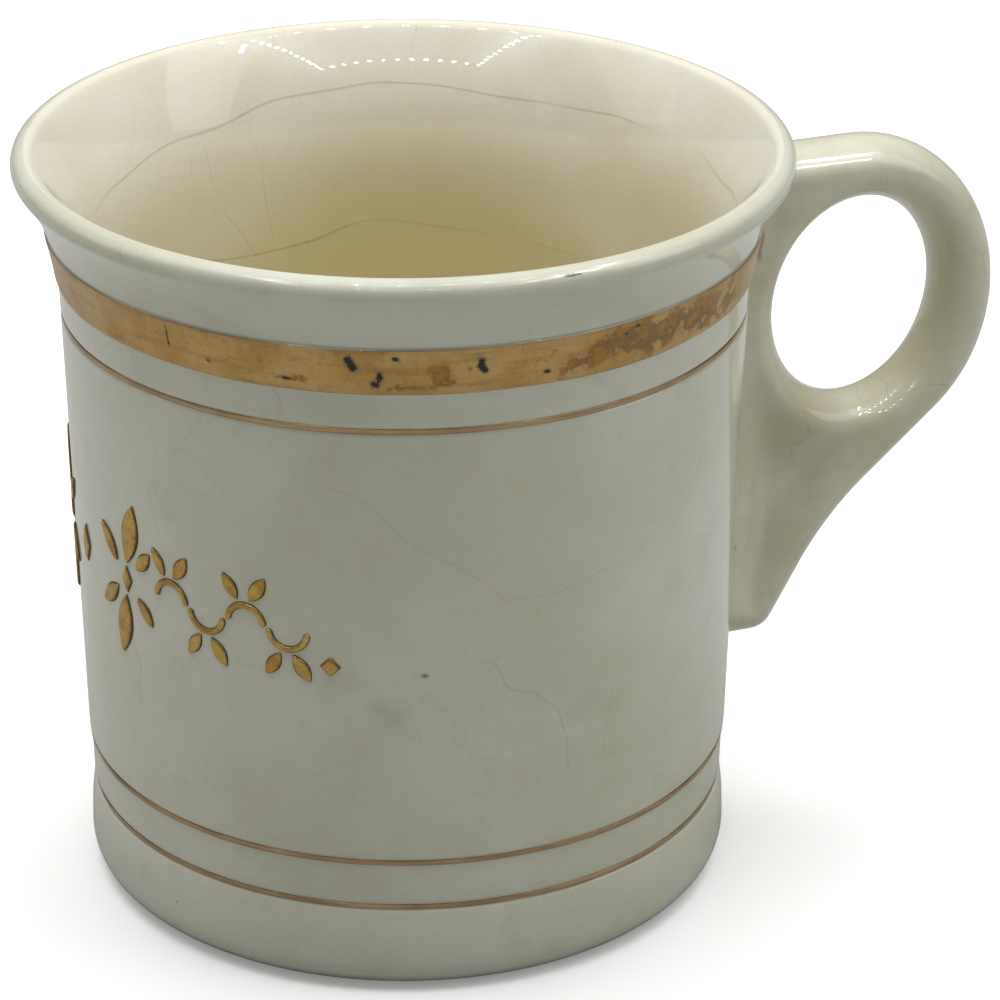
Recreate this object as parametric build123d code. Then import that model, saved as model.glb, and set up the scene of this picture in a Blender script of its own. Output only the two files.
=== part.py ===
from build123d import *
import math
import os

# A shaving mug: a turned white-ware cup with a flared rim, a cast ring handle that is stuck to the
# wall with slip, and gilding laid on the fired glaze.
# Frame: millimetres, +Z up along the mug's axis, z = 0 on the foot, +X towards the handle.
# The front of the mug, with its gilt frieze, faces -X.

os.makedirs("parts", exist_ok=True)

# ---------------------------------------------------------------- driving dimensions
# Cup
height = 92.5              # foot to top of lip
foot_wall_radius = 38.93   # outer wall carried down to z = 0
wall_taper = 1.515         # degrees that the wall leans outwards
wall_thickness = 4.0
rim_reach = 4.64           # how far the lip stands out past the wall's own line
rim_lean = 40.0            # degrees from vertical where the flare runs into the lip
inside_rim_lean = 38.0     # the same inside
lip_radius = 1.6
upper_flare_height = 8.3   # lip and the tight part of the flare
floor_thickness = 4.6
inner_corner_radius = 8.0

# Foot
foot_corner_radius = 4.0
foot_band_swell = 0.55     # how far the foot band stands out past the wall's own line
foot_band_ease = 0.25      # share of the swell that is gone halfway up the foot band
foot_recess_depth = 1.8
foot_ring_width = 3.6
waist_depth = 0.25         # turned band between the two lower lines

# Turned seats for the gilding
line_groove_width = 1.2
line_groove_depth = 0.22
upper_line_height = 72.85
lower_line_heights = (11.4, 17.5)
band_width = 5.8           # broad gilt band, measured up the mug
band_gap_below = 3.05      # from the start of the flare to the band
band_gap_above = 0.9       # from the band to the tight part of the flare
band_relief = 0.2          # ledge that the band lies on

# Handle
ring_half_height = 17.07   # centreline of the ring
ring_half_reach = 15.08
ring_drop = 27.9           # from the lip's top to the ring's centre
ring_sink = 0.55           # how far the ring's inner side runs into the wall
tube_half_thickness = 3.78
handle_half_width = 4.97
handle_edge_radius = 3.4
spine_angle = -52.0        # where the spine leaves the ring, in degrees below its middle
spine_run = 19.3           # from there to its bend
spine_bend_radius = 40.0
tail_height = 24.9         # centre of the rounded lower end
tail_reach = 5.75          # the same centre, out from the wall
tail_radius = 3.9
web_half_width = 3.0       # half the thickness left between the two dishes
dish_ball_radius = 14.0
dish_drop = 25.0           # from the ring's centre down to the middle of the dishes
dish_reach = 10.0          # the same middle, out from the wall
slip_thickness = 0.4

# Gilding
gilt_thickness = 0.1
gilt_line_width = 0.75
gilt_stop = 1.2            # bare glaze between a gilt line and the handle

# Frieze: sizes are (length, width), and places are (along, up, turn) from its middle
frieze_height = 47.0       # middle of the frieze
frieze_half_height = 20.0  # of the layer of wall that its relief is cut from
frieze_relief = 0.35
stem_width = 0.9
leaf_gap = 0.15            # bare glaze between a leaf and its stem
middle_lozenge = (3.0, 5.0)
flower_lozenge = (2.2, 3.6)
end_lozenge = (2.6, 2.6)
flower_centre = (11.3, -0.1, 0)
frieze_end = (40.3, -3.9, 0)
tall_leaf = (8.2, 3.4)
tall_leaf_places = [(11.5, 2.0, 78), (11.0, -2.2, -100)]
side_leaf = (5.2, 2.3)
side_leaf_places = [(9.4, 1.6, 130), (9.3, -1.6, 222)]
vine_leaf = (3.9, 2.0)
vine_bud = (3.6, 1.8)
outer_leaf_places = [(13.4, 1.8, 48), (13.4, -1.8, -48)]
vine_start = 19.4
vine_pitch = 5.3
vine_count = 4
curl_radius = 2.3
curl_sweep = 156.0         # degrees of each curl's arc
vine_leaf_offset = 0.6     # of each vine leaf's stalk from the middle of its curl
vine_leaf_turn = 58.0
vine_bud_offset = -0.9
vine_bud_turn = 122.0


# ---------------------------------------------------------------- derived places
lean = math.radians(wall_taper)
rise = math.tan(lean)
flare_start = height - upper_flare_height - band_gap_above - band_width - band_gap_below
flare_joint = height - upper_flare_height
band_bottom = flare_start + band_gap_below
band_top = band_bottom + band_width
rim_radius = foot_wall_radius + rise * height + rim_reach
lip_centre = (rim_radius - lip_radius, height - lip_radius)


def wall_radius(z):
    """Outer radius of the plain wall at a height."""
    return foot_wall_radius + rise * z


def heading(angle):
    """Unit step (radius, height) of a line that leans outwards by an angle in radians."""
    return math.sin(angle), math.cos(angle)


def solve_joint_lean(total_reach, low_rise, high_rise, low_lean, high_lean):
    """Lean where two tangent arcs meet, so that together they reach out as far as asked."""
    low, high = low_lean, high_lean
    for _ in range(60):
        middle = (low + high) / 2
        reach = low_rise * math.tan((low_lean + middle) / 2)
        reach += high_rise * math.tan((middle + high_lean) / 2)
        low, high = (middle, high) if reach < total_reach else (low, middle)
    return (low + high) / 2


# The outer flare is two arcs, tangent to the wall, to each other and to the lip.
high_lean = math.radians(rim_lean)
lip_outer = (
    lip_centre[0] + lip_radius * math.cos(high_lean),
    lip_centre[1] - lip_radius * math.sin(high_lean),
)
joint_lean = solve_joint_lean(
    lip_outer[0] - wall_radius(flare_start),
    flare_joint - flare_start,
    lip_outer[1] - flare_joint,
    lean,
    high_lean,
)
low_arc_radius = (flare_joint - flare_start) / (math.sin(joint_lean) - math.sin(lean))
low_arc_centre = (
    wall_radius(flare_start) + low_arc_radius * math.cos(lean),
    flare_start - low_arc_radius * math.sin(lean),
)


def on_low_arc(z, out=0.0):
    """Point on the flare's lower arc at a height, or a distance out from it along its normal."""
    radius = low_arc_radius - out
    angle = math.asin((z - low_arc_centre[1]) / radius)
    return low_arc_centre[0] - radius * math.cos(angle), z


def low_arc(z_from, z_to, out=0.0):
    """Piece of the flare's lower arc between two heights."""
    middle = on_low_arc((z_from + z_to) / 2, out)
    return ThreePointArc(on_low_arc(z_from, out), middle, on_low_arc(z_to, out))


def turned(edges):
    """Solid turned about the mug's axis from the edges of its half section."""
    return revolve(Plane.XZ * make_face(edges), Axis.Z)


def chain(points):
    """Straight edges through a list of points."""
    return [Line(a, b) for a, b in zip(points, points[1:])]


def groove(z, surface):
    """Corners of a shallow turned groove, centred at a height on a surface radius function."""
    half = line_groove_width / 2
    floor_half = gilt_line_width / 2
    return [
        (surface(z - half), z - half),
        (surface(z - floor_half) - line_groove_depth, z - floor_half),
        (surface(z + floor_half) - line_groove_depth, z + floor_half),
        (surface(z + half), z + half),
    ]


def waist_radius(z):
    """Outer radius of the turned band between the two lower lines."""
    return wall_radius(z) - waist_depth


# ---------------------------------------------------------------- mug body
def outer_outline():
    """Half section of the outside, from the foot's corner up to the lip."""
    swell_radius = foot_wall_radius + foot_band_swell
    corner_centre = (swell_radius - foot_corner_radius, foot_corner_radius)
    quarter = foot_corner_radius * math.sqrt(0.5)
    edges = [
        ThreePointArc(
            (corner_centre[0], 0),
            (corner_centre[0] + quarter, corner_centre[1] - quarter),
            (swell_radius, foot_corner_radius),
        )
    ]
    lower_groove = groove(lower_line_heights[0], waist_radius)
    upper_groove = groove(lower_line_heights[1], wall_radius)
    line_groove = groove(upper_line_height, wall_radius)
    foot_band_end = lower_groove[0]
    middle_height = (foot_corner_radius + foot_band_end[1]) / 2
    middle_radius = swell_radius - foot_band_ease * (swell_radius - foot_band_end[0])
    edges.append(
        ThreePointArc(edges[0] @ 1, (middle_radius, middle_height), foot_band_end)
    )
    step_foot = (waist_radius(upper_groove[0][1]), upper_groove[0][1])
    edges += chain(
        lower_groove
        + [step_foot]
        + upper_groove[1:]
        + line_groove
        + [(wall_radius(flare_start), flare_start)]
    )
    edges.append(low_arc(flare_start, band_bottom))
    edges.append(Line(on_low_arc(band_bottom), on_low_arc(band_bottom, band_relief)))
    edges.append(low_arc(band_bottom, band_top, band_relief))
    edges.append(Line(on_low_arc(band_top, band_relief), on_low_arc(band_top)))
    edges.append(low_arc(band_top, flare_joint))
    edges.append(
        TangentArc(
            on_low_arc(flare_joint), lip_outer, tangent=heading(joint_lean)
        )
    )
    return edges


def make_body():
    """Cup with its lip, inner flare, rounded inner corner and recessed foot."""
    outer = outer_outline()
    # The inside leans like the outside, a wall's thickness in, and flares by one arc into the lip.
    inner_lean = math.radians(inside_rim_lean)
    lip_inner = (
        lip_centre[0] - lip_radius * math.cos(inner_lean),
        lip_centre[1] + lip_radius * math.sin(inner_lean),
    )
    bore = foot_wall_radius - wall_thickness
    # Height where the inner arc leaves the inner wall: both ends of the arc are tangent.
    slope = math.tan((inner_lean + lean) / 2)
    inner_start = (lip_inner[0] - bore - slope * lip_inner[1]) / (rise - slope)
    floor_top = foot_recess_depth + floor_thickness
    corner = inner_corner_radius
    corner_end = floor_top + corner
    lip_top = (lip_centre[0], height)
    edges = outer + [
        ThreePointArc(lip_outer, (rim_radius, lip_centre[1]), lip_top),
        TangentArc(lip_top, lip_inner, tangent=(-1, 0)),
        TangentArc(
            lip_inner,
            (bore + rise * inner_start, inner_start),
            tangent=(-math.sin(inner_lean), -math.cos(inner_lean)),
        ),
        Line((bore + rise * inner_start, inner_start), (bore + rise * corner_end, corner_end)),
        TangentArc(
            (bore + rise * corner_end, corner_end),
            (bore + rise * corner_end - corner, floor_top),
            tangent=(-math.sin(lean), -math.cos(lean)),
        ),
    ]
    foot_outer = outer[0] @ 0
    foot_inner = (foot_outer.X - foot_ring_width, 0)
    recess_edge = (foot_inner[0] - foot_recess_depth, foot_recess_depth)
    edges += chain(
        [
            (bore + rise * corner_end - corner, floor_top),
            (0, floor_top),
            (0, foot_recess_depth),
            recess_edge,
            foot_inner,
            (foot_outer.X, 0),
        ]
    )
    return turned(edges)


# ---------------------------------------------------------------- handle and its slip joint
ring_centre_height = height - ring_drop
ring_centre_radius = (
    wall_radius(ring_centre_height) - ring_sink + ring_half_reach + tube_half_thickness
)
tail_centre = (wall_radius(tail_height) + tail_reach, tail_height)
inside_wall = foot_wall_radius - wall_thickness / 2
dish_height = ring_centre_height - dish_drop
dish_centre = (wall_radius(dish_height) + dish_reach, dish_height)


def on_ring(angle, out):
    """Point of the ring at an angle in degrees, a distance out from its centreline's axes."""
    turn = math.radians(angle)
    return (
        ring_centre_radius + (ring_half_reach + out) * math.cos(turn),
        ring_centre_height + (ring_half_height + out) * math.sin(turn),
    )


def tangent_point(start, centre, radius):
    """Where the line from a point touches the far side of a circle, seen from the wall."""
    across, up = start[0] - centre[0], start[1] - centre[1]
    distance = math.hypot(across, up)
    angle = math.atan2(up, across) - math.acos(radius / distance)
    return centre[0] + radius * math.cos(angle), centre[1] + radius * math.sin(angle)


def handle_outline():
    """Side view of the handle: upper arm, ring, spine and rounded tail, run into the wall."""
    out = tube_half_thickness
    top = on_ring(90, out)
    leave = on_ring(spine_angle, out)
    # The spine leaves the ring along its tangent.
    turn = math.radians(spine_angle)
    along = ((ring_half_reach + out) * math.sin(turn), -(ring_half_height + out) * math.cos(turn))
    length = math.hypot(*along)
    knee = (leave[0] + spine_run * along[0] / length, leave[1] + spine_run * along[1] / length)
    touch = tangent_point(knee, tail_centre, tail_radius)
    tail_bottom = (tail_centre[0], tail_centre[1] - tail_radius)
    touch_angle = math.atan2(touch[1] - tail_centre[1], touch[0] - tail_centre[0])
    half_angle = (touch_angle - math.pi / 2) / 2
    tail_middle = (
        tail_centre[0] + tail_radius * math.cos(half_angle),
        tail_centre[1] + tail_radius * math.sin(half_angle),
    )
    ring_arc = EllipticalCenterArc(
        (ring_centre_radius, ring_centre_height),
        ring_half_reach + out,
        ring_half_height + out,
        start_angle=spine_angle,
        arc_size=90 - spine_angle,
    )
    return [
        Line((inside_wall, top[1]), top),
        ring_arc,
        FilletPolyline(leave, knee, touch, radius=spine_bend_radius),
        ThreePointArc(touch, tail_middle, tail_bottom),
        Line(tail_bottom, (inside_wall, tail_bottom[1])),
        Line((inside_wall, tail_bottom[1]), (inside_wall, top[1])),
    ]


def make_handle_blank():
    """Ring, upper arm, spine and tail as cast, before the root is cut to fit the wall."""
    opening = Pos(ring_centre_radius, ring_centre_height) * Ellipse(
        ring_half_reach - tube_half_thickness, ring_half_height - tube_half_thickness
    )
    side_view = make_face(handle_outline()) - opening
    plate = extrude(Plane.XZ * side_view, handle_half_width, both=True)
    soft_edges = [
        edge
        for edge in plate.edges()
        if abs(edge.center().Y) > handle_half_width / 2 and edge.center().X > inside_wall + 1
    ]
    plate = fillet(soft_edges, handle_edge_radius)
    # A shallow dish on each side leaves a web between the ring, the spine and the wall.
    for side in (1, -1):
        ball_centre = (
            dish_centre[0], side * (web_half_width + dish_ball_radius), dish_centre[1]
        )
        plate -= Pos(*ball_centre) * Sphere(dish_ball_radius)
    return plate


def wall_blank(grow):
    """The mug's outside as one plain solid turned down to its axis, grown outwards."""
    foot_edge = (wall_radius(0) + grow / math.cos(lean), 0)
    seam_height = flare_start - grow * math.sin(lean)
    joint_height = flare_joint - grow * math.sin(joint_lean)
    lip_point = (
        lip_outer[0] + grow * math.cos(high_lean), lip_outer[1] - grow * math.sin(high_lean)
    )
    edges = [
        Line((0, 0), foot_edge),
        Line(foot_edge, on_low_arc(seam_height, grow)),
        low_arc(seam_height, joint_height, grow),
        TangentArc(on_low_arc(joint_height, grow), lip_point, tangent=heading(joint_lean)),
        Line(lip_point, (0, lip_point[1])),
        Line((0, lip_point[1]), (0, 0)),
    ]
    return turned(edges)


# ---------------------------------------------------------------- gilding
def gilt_ring(edges, radius):
    """Gilt laid round the mug from one side of the handle to the other."""
    half_gap = math.degrees(math.asin((handle_half_width + gilt_stop) / radius))
    section = Rot(0, 0, half_gap) * (Plane.XZ * make_face(edges))
    return revolve(section, Axis.Z, revolution_arc=360 - 2 * half_gap)


def gilt_line(z, surface):
    """Thin gilt line on the floor of its groove."""
    lower, upper = groove(z, surface)[1:3]
    points = [
        lower,
        (lower[0] + gilt_thickness, lower[1]),
        (upper[0] + gilt_thickness, upper[1]),
        upper,
        lower,
    ]
    return gilt_ring(chain(points), lower[0])


def make_broad_band():
    """Broad gilt band on its ledge on the flare."""
    seat, face = band_relief, band_relief + gilt_thickness
    edges = [
        low_arc(band_bottom, band_top, seat),
        Line(on_low_arc(band_top, seat), on_low_arc(band_top, face)),
        low_arc(band_bottom, band_top, face),
        Line(on_low_arc(band_bottom, face), on_low_arc(band_bottom, seat)),
    ]
    return gilt_ring(edges, wall_radius(band_bottom))


# The frieze is drawn flat, in (along, up) millimetres from its middle, and laid on the wall.
wall_at_frieze = wall_radius(frieze_height)


def leaf(length, width):
    """Pointed leaf from the origin along +x, bounded by two arcs."""
    top = ThreePointArc((0, 0), (length / 2, width / 2), (length, 0))
    bottom = ThreePointArc((length, 0), (length / 2, -width / 2), (0, 0))
    return make_face([top, bottom])


def lozenge(width, tall):
    """Four-cornered lozenge."""
    return Polygon((width / 2, 0), (0, tall / 2), (-width / 2, 0), (0, -tall / 2))


def curl(radius, start, sweep_angle):
    """Stem curl: an arc of constant width about the origin, in degrees."""
    return SlotArc(CenterArc((0, 0), radius, start, sweep_angle), stem_width)


def lay_on_wall(shape, along, up, turn, mirrored):
    """A flat shape, turned in degrees and placed in the frieze, as relief on the wall."""
    side = -1 if mirrored else 1
    flat = Rot(0, 0, turn) * shape
    if mirrored:
        flat = mirror(flat, about=Plane.YZ)
    angle = math.pi + side * along / wall_at_frieze
    outward = (math.cos(angle), math.sin(angle), 0)
    origin = (
        wall_at_frieze * outward[0], wall_at_frieze * outward[1], frieze_height + up
    )
    seat = Plane(origin=origin, x_dir=(-outward[1], outward[0], 0), z_dir=outward)
    depth = frieze_relief + wall_thickness / 2
    return (seat * extrude(flat, depth, both=True)) & relief_shell


def both_sides(shape, places):
    """Relief solids of one shape at each (along, up, turn), and mirrored about the middle."""
    solids = []
    for along, up, turn in places:
        for mirrored in (False, True):
            solids += lay_on_wall(shape, along, up, turn, mirrored).solids()
    return solids


def frieze_shell():
    """Layer of the wall's own shape that all relief in the frieze is cut from."""
    low, high = frieze_height - frieze_half_height, frieze_height + frieze_half_height
    outside = chain(
        [
            (wall_radius(low), low),
            (wall_radius(low) + frieze_relief, low),
            (wall_radius(high) + frieze_relief, high),
            (wall_radius(high), high),
            (wall_radius(low), low),
        ]
    )
    return turned(outside)


def vine_places(offset, up, turn):
    """Places along the running vine, alternately above and below its stem."""
    places = []
    for step in range(vine_count):
        flip = 1 if step % 2 == 0 else -1
        places.append((vine_start + offset + step * vine_pitch, flip * up, flip * turn))
    return places


def make_frieze():
    """The frieze's three nodes: stems, leaves and lozenges."""
    stems = []
    first_end = 90 - curl_sweep / 2
    for step in range(vine_count):
        arc = curl(curl_radius, first_end + 180 * (step % 2), curl_sweep)
        stems += both_sides(arc, [(vine_start + step * vine_pitch, 0, 0)])
    leaf_up = curl_radius + stem_width / 2 + leaf_gap
    leaves = both_sides(leaf(*tall_leaf), tall_leaf_places)
    leaves += both_sides(leaf(*side_leaf), side_leaf_places)
    leaves += both_sides(leaf(*vine_leaf), outer_leaf_places)
    leaves += both_sides(
        leaf(*vine_leaf), vine_places(vine_leaf_offset, leaf_up, vine_leaf_turn)
    )
    leaves += both_sides(leaf(*vine_bud), vine_places(vine_bud_offset, leaf_up, vine_bud_turn))
    lozenges = both_sides(lozenge(*end_lozenge), [frieze_end])
    lozenges += both_sides(lozenge(*flower_lozenge), [flower_centre])
    lozenges += lay_on_wall(lozenge(*middle_lozenge), 0, 0, 0, False).solids()
    return stems, leaves, lozenges


# ---------------------------------------------------------------- build and write
relief_shell = frieze_shell()
body = make_body()
blank = make_handle_blank()
handle = blank - wall_blank(slip_thickness)
slip_joint = (blank & wall_blank(slip_thickness)) - wall_blank(0) - body
stems, leaves, lozenges = make_frieze()


def main_solid(shape):
    """The largest solid of a shape."""
    return max(shape.solids(), key=lambda solid: solid.volume)


nodes = {
    "mug_body": body,
    "handle": main_solid(handle),
    "handle_slip_joint": slip_joint,
    "broad_gilt_band": make_broad_band(),
    "upper_gilt_line": gilt_line(upper_line_height, wall_radius),
    "foot_gilt_line_lower": gilt_line(lower_line_heights[0], waist_radius),
    "foot_gilt_line_upper": gilt_line(lower_line_heights[1], wall_radius),
    "gilt_stems": Compound(children=stems),
    "gilt_leaves": Compound(children=leaves),
    "gilt_lozenges": Compound(children=lozenges),
}
for name, shape in nodes.items():
    export_step(shape, f"parts/{name}.step")
    print(name, len(shape.solids()), round(shape.volume, 1))
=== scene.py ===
# %% [markdown]
# # A gilded white-ware shaving mug
# The mug is a turned cup, a cast handle stuck on with slip, and thin gold fired on the glaze.
# Each is built as its own surface with numpy and gets a finish made only of shader nodes. The
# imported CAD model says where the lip, the band, the lines and the handle lie.

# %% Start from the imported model
import math

import bpy
import numpy as np
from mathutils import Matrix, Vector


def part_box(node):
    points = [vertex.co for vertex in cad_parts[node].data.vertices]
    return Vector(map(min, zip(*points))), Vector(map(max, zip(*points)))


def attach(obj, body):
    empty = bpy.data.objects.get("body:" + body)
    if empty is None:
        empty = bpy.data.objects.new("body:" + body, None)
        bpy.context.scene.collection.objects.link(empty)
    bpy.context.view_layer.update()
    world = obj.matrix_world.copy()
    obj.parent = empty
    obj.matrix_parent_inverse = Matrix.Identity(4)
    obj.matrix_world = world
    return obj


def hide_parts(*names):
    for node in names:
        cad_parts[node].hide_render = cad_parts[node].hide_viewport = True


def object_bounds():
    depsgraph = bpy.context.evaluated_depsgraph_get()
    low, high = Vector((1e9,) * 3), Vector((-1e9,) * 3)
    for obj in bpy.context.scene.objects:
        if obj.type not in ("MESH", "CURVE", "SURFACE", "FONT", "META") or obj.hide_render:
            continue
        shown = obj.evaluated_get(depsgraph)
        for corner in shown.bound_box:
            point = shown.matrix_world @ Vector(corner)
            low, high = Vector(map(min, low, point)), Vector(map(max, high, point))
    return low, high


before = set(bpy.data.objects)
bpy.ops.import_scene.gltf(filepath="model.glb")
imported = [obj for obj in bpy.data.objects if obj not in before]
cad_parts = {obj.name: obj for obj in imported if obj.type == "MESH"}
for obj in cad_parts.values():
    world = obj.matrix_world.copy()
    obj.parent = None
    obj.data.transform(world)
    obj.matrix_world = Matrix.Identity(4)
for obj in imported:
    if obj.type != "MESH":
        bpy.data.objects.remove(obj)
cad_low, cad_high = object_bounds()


def in_mm(corner):
    """A corner in metres as millimetres to two places."""
    return [round(1000 * v, 2) for v in corner]


print("CAD box in mm:", in_mm(cad_low), in_mm(cad_high))

# %% [markdown]
# ## Meshes from arrays
# Everything on this mug is turned, cast or laid along a line, so one idea covers it all: a ring
# of points that is carried along a path. The helpers below join such rings into a closed skin and
# put it into a mesh. Sizes are in millimetres until the last moment.

# %% Rings to a closed skin
MM = 0.001


def circle(angles):
    """Unit vectors (cos, sin) at angles in radians."""
    return np.stack([np.cos(angles), np.sin(angles)], axis=-1)


def around_axis(radius, angles, z):
    """Points about the mug's axis: (r cos a, r sin a, z), for arrays that broadcast together."""
    radius, angles, z = np.broadcast_arrays(radius, angles, z)
    return np.concatenate([radius[..., None] * circle(angles), z[..., None]], axis=-1)


def unit(vectors):
    """The vectors, each divided by its own length."""
    return vectors / np.linalg.norm(vectors, axis=-1, keepdims=True)


def skin(rings, closed=False):
    """Points and faces of a closed surface through rings of points.

    rings[i, j] is point j of ring i. Ring i is joined to ring i + 1 by quads, and the last to the
    first where closed is true. Otherwise each end is shut by triangles to the ring's mean point.
    The faces are turned over as a whole if the volume that they enclose comes out negative.
    """
    count, around = rings.shape[:2]
    here = np.arange(count if closed else count - 1)[:, None]
    beside = np.arange(around)[None, :]
    ahead = (here + 1) % count
    turn = (beside + 1) % around
    quads = np.stack(
        [here * around + beside, here * around + turn, ahead * around + turn, ahead * around + beside],
        axis=-1,
    ).reshape(-1, 4)
    points = rings.reshape(-1, 3)
    ends = np.zeros((0, 3), int)
    if not closed:
        first, last = count * around, count * around + 1
        points = np.concatenate([points, rings[[0, -1]].mean(axis=1)])
        side, turned = beside[0], turn[0]
        far = (count - 1) * around
        start_fan = np.stack([np.full(around, first), turned, side], axis=-1)
        end_fan = np.stack([np.full(around, last), far + side, far + turned], axis=-1)
        ends = np.concatenate([start_fan, end_fan])
    triangles = np.concatenate([quads[:, :3], quads[:, [0, 2, 3]], ends])
    a, b, c = (points[triangles[:, corner]] for corner in range(3))
    if (a * np.cross(b, c)).sum() < 0:
        quads, ends = quads[:, ::-1], ends[:, ::-1]
    return points, quads, ends


def show(name, data):
    """A new object of that name, put in the scene."""
    made = bpy.data.objects.new(name, data)
    bpy.context.scene.collection.objects.link(made)
    return made


def make_piece(name, skins, stands_for, paints=None):
    """One mesh object from closed skins. paints is {attribute name: one value for each point}."""
    offsets = np.cumsum([0] + [len(points) for points, _, _ in skins])
    points = np.concatenate([points for points, _, _ in skins])
    quads, fans = (
        np.concatenate([one[kind] + shift for one, shift in zip(skins, offsets)]) for kind in (1, 2)
    )
    mesh = bpy.data.meshes.new(name)
    mesh.from_pydata((points * MM).tolist(), [], quads.tolist() + fans.tolist())
    mesh.shade_smooth()
    for paint, values in (paints or {}).items():
        layer = mesh.attributes.new(paint, "FLOAT", "POINT")
        layer.data.foreach_set("value", np.asarray(values, np.float32))
    piece = show(name, mesh)
    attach(piece, "root")
    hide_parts(stands_for)
    low, high = points.min(axis=0).round(2), points.max(axis=0).round(2)
    print(f"{name}: {len(skins)} skins, {len(quads) * 2 + len(fans)} triangles, {low} to {high} mm")
    return piece


# %% [markdown]
# ## Measures
# What the frame can say is read from it: the lip's height and radius, the band's edges and the
# lines' heights. The rest are the thrower's own measures, such as the taper of the wall, and they
# repeat the values that the CAD model is driven by.

# %% Measures of the cup
def frame_box(node):
    """Lowest and highest corner of a CAD node in millimetres."""
    low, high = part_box(node)
    return np.array(low) / MM, np.array(high) / MM


body_low, body_high = frame_box("mug_body")
band_low, band_high = frame_box("broad_gilt_band")
rim_radius, height = body_high[1], body_high[2]
band_bottom, band_top = band_low[2], band_high[2]
foot_wall_radius, wall_thickness, floor_thickness = 38.93, 4.0, 6.4
wall_lean, rim_lean = math.radians(1.515), math.radians(40.0)
rise = math.tan(wall_lean)
lip_radius, inner_corner = 1.6, 8.0
flare_start, flare_joint = band_bottom - 3.05, band_top + 0.9
band_ledge = 0.2
floor_top = body_low[2] + floor_thickness
foot_radius, foot_corner = foot_wall_radius + 0.55, 4.0
foot_ring_width, foot_recess = 3.6, 1.8
groove_half, groove_floor_half, groove_depth = 0.6, 0.375, 0.22
lower_line, upper_foot_line, upper_line = (
    (frame_box(node)[0][2] + frame_box(node)[1][2]) / 2
    for node in ("foot_gilt_line_lower", "foot_gilt_line_upper", "upper_gilt_line")
)
waist_depth = 0.25


def wall_radius(z):
    """Radius of the plain wall: the foot's radius and the taper's rise with height."""
    return foot_wall_radius + rise * z


print("lip", rim_radius.round(2), "at", height.round(2))
print("band", band_bottom.round(2), "to", band_top.round(2))
print("lines at", [round(float(z), 2) for z in (lower_line, upper_foot_line, upper_line)])

# %% [markdown]
# ## The cup's section
# A turned cup is fully described by its half section: here a chain of tangent arcs and straights.
# It is then smoothed over a tenth of a millimetre, which is what a layer of glaze does to every
# turned edge.

# %% Arcs and straights
def tangent_arc(start, end, lean, count=40):
    """Arc from start to end that leaves start at a lean from vertical.

    An arc's chord leans halfway between its two ends, so the arc turns by twice the angle between
    the start's lean and the chord's. Its points are the sum of steps (sin lean, cos lean).
    """
    start, end = np.array(start, float), np.array(end, float)
    chord = end - start
    half = math.atan2(chord[0], chord[1]) - lean
    length = np.hypot(*chord) * half / math.sin(half)
    leans = lean + np.linspace(0, 2 * half, count)
    across = (math.cos(lean) - np.cos(leans)) * length / (2 * half)
    up = (np.sin(leans) - math.sin(lean)) * length / (2 * half)
    return start + np.stack([across, up], axis=1)


def solve_joint_lean(reach, low_rise, high_rise, rounds=50):
    """Lean where the flare's two arcs meet, halved down until together they reach far enough."""
    low, high = wall_lean, rim_lean
    for _ in range(rounds):
        middle = (low + high) / 2
        now = low_rise * math.tan((wall_lean + middle) / 2)
        now += high_rise * math.tan((middle + rim_lean) / 2)
        low, high = (middle, high) if now < reach else (low, middle)
    return (low + high) / 2


lip_centre = np.array([rim_radius - lip_radius, height - lip_radius])
lip_outer = lip_centre + lip_radius * np.array([math.cos(rim_lean), -math.sin(rim_lean)])
joint_lean = solve_joint_lean(
    lip_outer[0] - wall_radius(flare_start), flare_joint - flare_start, lip_outer[1] - flare_joint
)
low_arc_radius = (flare_joint - flare_start) / (math.sin(joint_lean) - math.sin(wall_lean))
low_arc_centre = np.array([
    wall_radius(flare_start) + low_arc_radius * math.cos(wall_lean),
    flare_start - low_arc_radius * math.sin(wall_lean),
])


def flare_radius(z, out=0.0):
    """Radius of the flare's lower arc at a height, or of the same arc moved out."""
    radius = low_arc_radius - out
    return low_arc_centre[0] - np.sqrt(radius**2 - (z - low_arc_centre[1]) ** 2)


def low_arc(z_from, z_to, out=0.0):
    """Points of the flare's lower arc between two heights."""
    z = np.linspace(z_from, z_to, 30)
    return np.stack([flare_radius(z, out), z], axis=1)


def groove(z, step=0.0):
    """Corners of a shallow turned groove round a height, on a wall that is set in by step."""
    heights = z + np.array([-groove_half, -groove_floor_half, groove_floor_half, groove_half])
    depths = step + groove_depth * np.array([0, 1, 1, 0])
    return np.stack([wall_radius(heights) - depths, heights], axis=1)


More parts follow.
